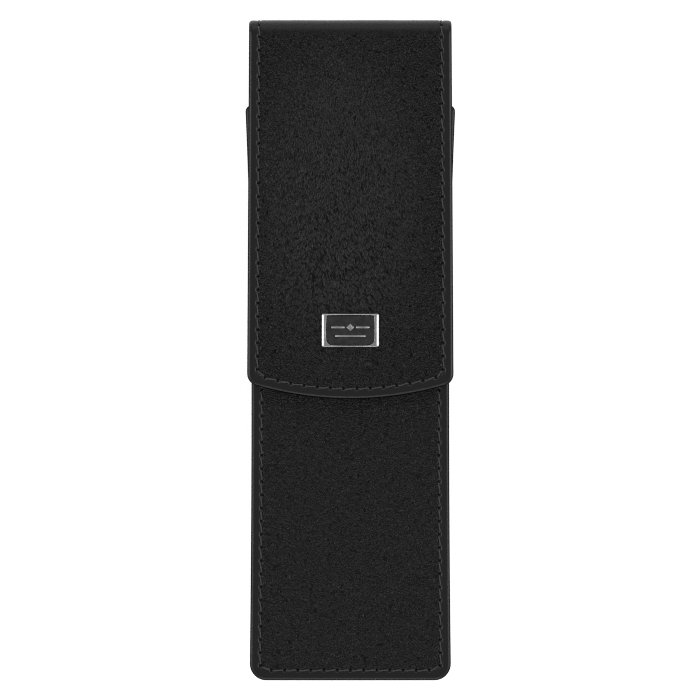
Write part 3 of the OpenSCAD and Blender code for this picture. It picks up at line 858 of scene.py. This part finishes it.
mouth_thread = thread("mouth_stitches", [(mouth_holes, on_front, *outer_front),
                                         (mouth_holes[2:-2], flat_at(Z_FRONT, -1), *inner)])
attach(finish(mouth_thread, "thread", "mouth_thread"), "pocket")
front_bobbin = thread("front_flange_stitches",
                      [(holes, flat_at(GUSSET_Z[1] - GUSSET_T, -1), *inner) for holes in side_holes], 8, 9)
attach(finish(front_bobbin, "thread", "front_bobbin_thread"), "pocket")
back_bobbin = thread("back_flange_stitches",
                     [(pocket_holes, flat_at(GUSSET_Z[0] + GUSSET_T, 1), *inner)], 8, 9)
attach(finish(back_bobbin, "thread", "back_bobbin_thread"), "pocket")

# ---- divider ----
web_low, web_high = cad("pen_divider")
WEB_HALF, FOOT_T = 0.6, 0.5
WEB_CORNERS = (0.3, 4, 0.6, 0.3)             # the large one is at the mouth, on top
web = rounded(web_low[1], web_low[2], web_high[1], web_high[2], WEB_CORNERS, n=8)


def stand_up(points):
    """Turns a stack built over (y, z) so that it stands across X, with a slight lean and sway."""
    y, z, x = points.T
    sway = 0.25*np.sin(y/17)*(z - web_low[2])/(web_high[2] - web_low[2])      # none at the foot
    return np.stack([x + sway, y, z], 1)


rim = [(0.30*(1 - np.cos(a)), WEB_HALF*np.sin(a)) for a in np.radians(np.linspace(-90, 90, 9))]
divider = stack("web", [(web, d, x) for d, x in rim], stand_up)
foot_outline = rounded(web_low[0], web_low[1], web_high[0], web_high[1], (1.5,)*4)
foot_rings = [(0.15, 0), (0, 0.12), (0, FOOT_T - 0.15), (0.15, FOOT_T)]
foot = stack("foot", [(foot_outline, d, web_low[2] + z) for d, z in foot_rings])
divider = join("divider", divider, foot)
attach(finish(divider, "divider_leather", "pen_divider"), "pocket")

# ---- badge ----
badge_low, badge_high = cad("badge_frame")
badge_half = (badge_high - badge_low)[:2]/2
badge_y = (badge_high + badge_low)[1]/2
rise = badge_high[2] - Z_TOP
SIDE_BAR, END_BAR = 1.2, 0.5
plate_z = cad("badge_plate")[1][2]


def badge_box(side, end, radii, bulge=0.0):
    return rounded(-badge_half[0] + side, badge_y - badge_half[1] + end, badge_half[0] - side,
                   badge_y + badge_half[1] - end, radii, bulge=bulge)


window = badge_box(SIDE_BAR, END_BAR, (1.5, 0.5, 0.5, 1.5), bulge=0.12)
# the frame's sloping edge: how far in at the (sides, ends), and at what share of its height
slope = [((0, 0), 0), ((0, 0), 0.40), ((0.05, 0.03), 0.54), ((0.18, 0.08), 0.66), ((0.46, 0.15), 0.84),
         ((0.66, 0.22), 0.93)]
frame_rings = [(badge_box(side, end, (0.45 - 0.6*end,)*4), 0, Z_TOP + level*rise)
               for (side, end), level in slope]
frame_rings += [(window, -0.10, Z_TOP + rise), (window, -0.04, Z_TOP + 0.96*rise),
                (window, 0, Z_TOP + 0.86*rise), (window, 0.02, plate_z - 0.1), (window, 0.2, plate_z - 0.15)]
badge_frame = stack("badge_rim", frame_rings)
PRONG_X, PRONG_HALF, PRONG_HALF_T, PRONG_TURN = 5.4, 1.1, 0.17, 2.4
backing_z = cad("badge_backing")[0][2]
low_y, high_y = badge_y - PRONG_HALF, badge_y + PRONG_HALF
prongs = []
for side in (-1, 1):
    leg = rounded(side*PRONG_X - PRONG_HALF_T, low_y, side*PRONG_X + PRONG_HALF_T, high_y, (0.1,)*4, n=2)
    turned = rounded(side*PRONG_X - (PRONG_HALF_T if side < 0 else PRONG_TURN), low_y,
                     side*PRONG_X + (PRONG_TURN if side < 0 else PRONG_HALF_T), high_y, (0.1,)*4, n=2)
    prongs.append(stack("leg", [(leg, 0, backing_z - 0.2), (leg, 0, Z_TOP + 0.05)]))
    prongs.append(stack("turn", [(turned, 0.05, backing_z - 0.4), (turned, 0, backing_z - 0.3),
                                 (turned, 0.05, backing_z - 0.05)]))
badge_frame = join("badge_rim", badge_frame, *prongs)
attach(finish(badge_frame, "badge_chrome", "badge_frame"), "flap")

plate = stack("badge_dish", [(window, 0.06, plate_z - 0.25), (window, 0.06, plate_z - 0.06),
                             (window, 0.3, plate_z), (window, 1.2, plate_z + 0.03)])
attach(finish(plate, "badge_plate", "badge_plate"), "flap")


def raised(name, x0, y0, x1, y1, turn=0.0):
    """A small raised ornament with bevelled edges, turned about its middle."""
    centre = np.array([(x0 + x1)/2, (y0 + y1)/2])
    c, s = np.cos(turn), np.sin(turn)

    def turned(points):
        flat = (points[:, :2] - centre) @ np.array([[c, s], [-s, c]]) + centre
        return np.column_stack([flat, points[:, 2]])
    shape = rounded(x0, y0, x1, y1, (0.08,)*4, n=3)
    rings = [(shape, 0, plate_z - 0.02), (shape, 0, plate_z + 0.08), (shape, 0.025, plate_z + 0.1)]
    return stack(name, rings, turned)


upper_row, lower_row = badge_y + 0.7, badge_y - 1.4
emblem = [raised("lozenge", -0.65, upper_row - 0.65, 0.65, upper_row + 0.65, np.pi/4),
          raised("left_bar", -4.6, upper_row - 0.2, -1.4, upper_row + 0.2),
          raised("right_bar", 1.4, upper_row - 0.2, 4.6, upper_row + 0.2),
          raised("rule", -3.7, lower_row - 0.15, 3.7, lower_row + 0.15)]
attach(finish(join("badge_ornament", *emblem), "badge_chrome", "badge_emblem"), "flap")

# ---- CAD pieces kept as they are ----
kept_nodes = {"back_board": "board", "front_board": "board", "roof_board": "board", "flap_board": "board",
              "keeper_disc": "nickel_steel", "flap_magnet": "nickel_steel", "badge_backing": "backing_steel"}
for node, slot in kept_nodes.items():
    kept = frame["nodes"][node]
    kept.data.materials.clear()
    kept.data.materials.append(MATERIALS[slot])

# ---- floor, light and camera ----
scene = bpy.context.scene
scene.view_settings.view_transform = "Standard"
scene.view_settings.look = "None"
scene.cycles.use_denoising = False
scene.cycles.filter_width = 1.1

floor_paint = Nodes("floor_paint")
floor_at = floor_paint.add("TexCoord").outputs["Object"]
shade = floor_paint.noise(floor_at, 3.0)
floor_paint.set("Base Color", floor_paint.colour(shade, (0.93, 0.93, 0.93), (0.95, 0.95, 0.95)))
floor_paint.set("Roughness", 0.9)
floor_paint.set("Emission Color", (1, 1, 1, 1))
floor_paint.set("Emission Strength", 0.6)
FLOOR_GAP = 0.0002           # in metres, so that the back's grain stays clear of the floor
bpy.ops.mesh.primitive_plane_add(size=6, location=(0, 0, -FLOOR_GAP))
floor = bpy.context.object
floor.name = "floor"
floor.data.materials.append(floor_paint.material)

world = bpy.data.worlds.new("studio")
world.use_nodes = True
world.node_tree.nodes["Background"].inputs[0].default_value = (1, 1, 1, 1)
world.node_tree.nodes["Background"].inputs[1].default_value = 0.35
scene.world = world


def softbox(name, at, size, power):
    """A rectangular lamp at this place, in metres, which faces the middle of the object."""
    light = bpy.data.lights.new(name, "AREA")
    light.shape = "RECTANGLE"
    light.size, light.size_y = size
    light.energy = power
    lamp = bpy.data.objects.new(name, light)
    lamp.location = at
    lamp.rotation_euler = (-Vector(at)).to_track_quat("-Z", "Y").to_euler()
    scene.collection.objects.link(lamp)


softbox("left_box", (-1.0, 0.0, 0.58), (0.7, 0.9), 4.4)
softbox("right_box", (1.0, 0.0, 0.58), (0.7, 0.9), 4.8)
softbox("top_box", (0.0, 1.0, 0.58), (0.9, 0.7), 2.4)
softbox("near_box", (0.0, -1.0, 0.58), (0.9, 0.7), 3.2)

LENS, SENSOR = 250, 36
PICTURE_HEIGHT = 169.5       # height of the picture at the plane of the front, in millimetres
camera_data = bpy.data.cameras.new("camera")
camera_data.lens, camera_data.sensor_width = LENS, SENSOR
camera_data.clip_end = 50
camera = bpy.data.objects.new("camera", camera_data)
camera.location = (-0.00008, 0.00004, (Z_FRONT_TOP + PICTURE_HEIGHT*LENS/SENSOR)*MM)
scene.collection.objects.link(camera)
scene.camera = camera
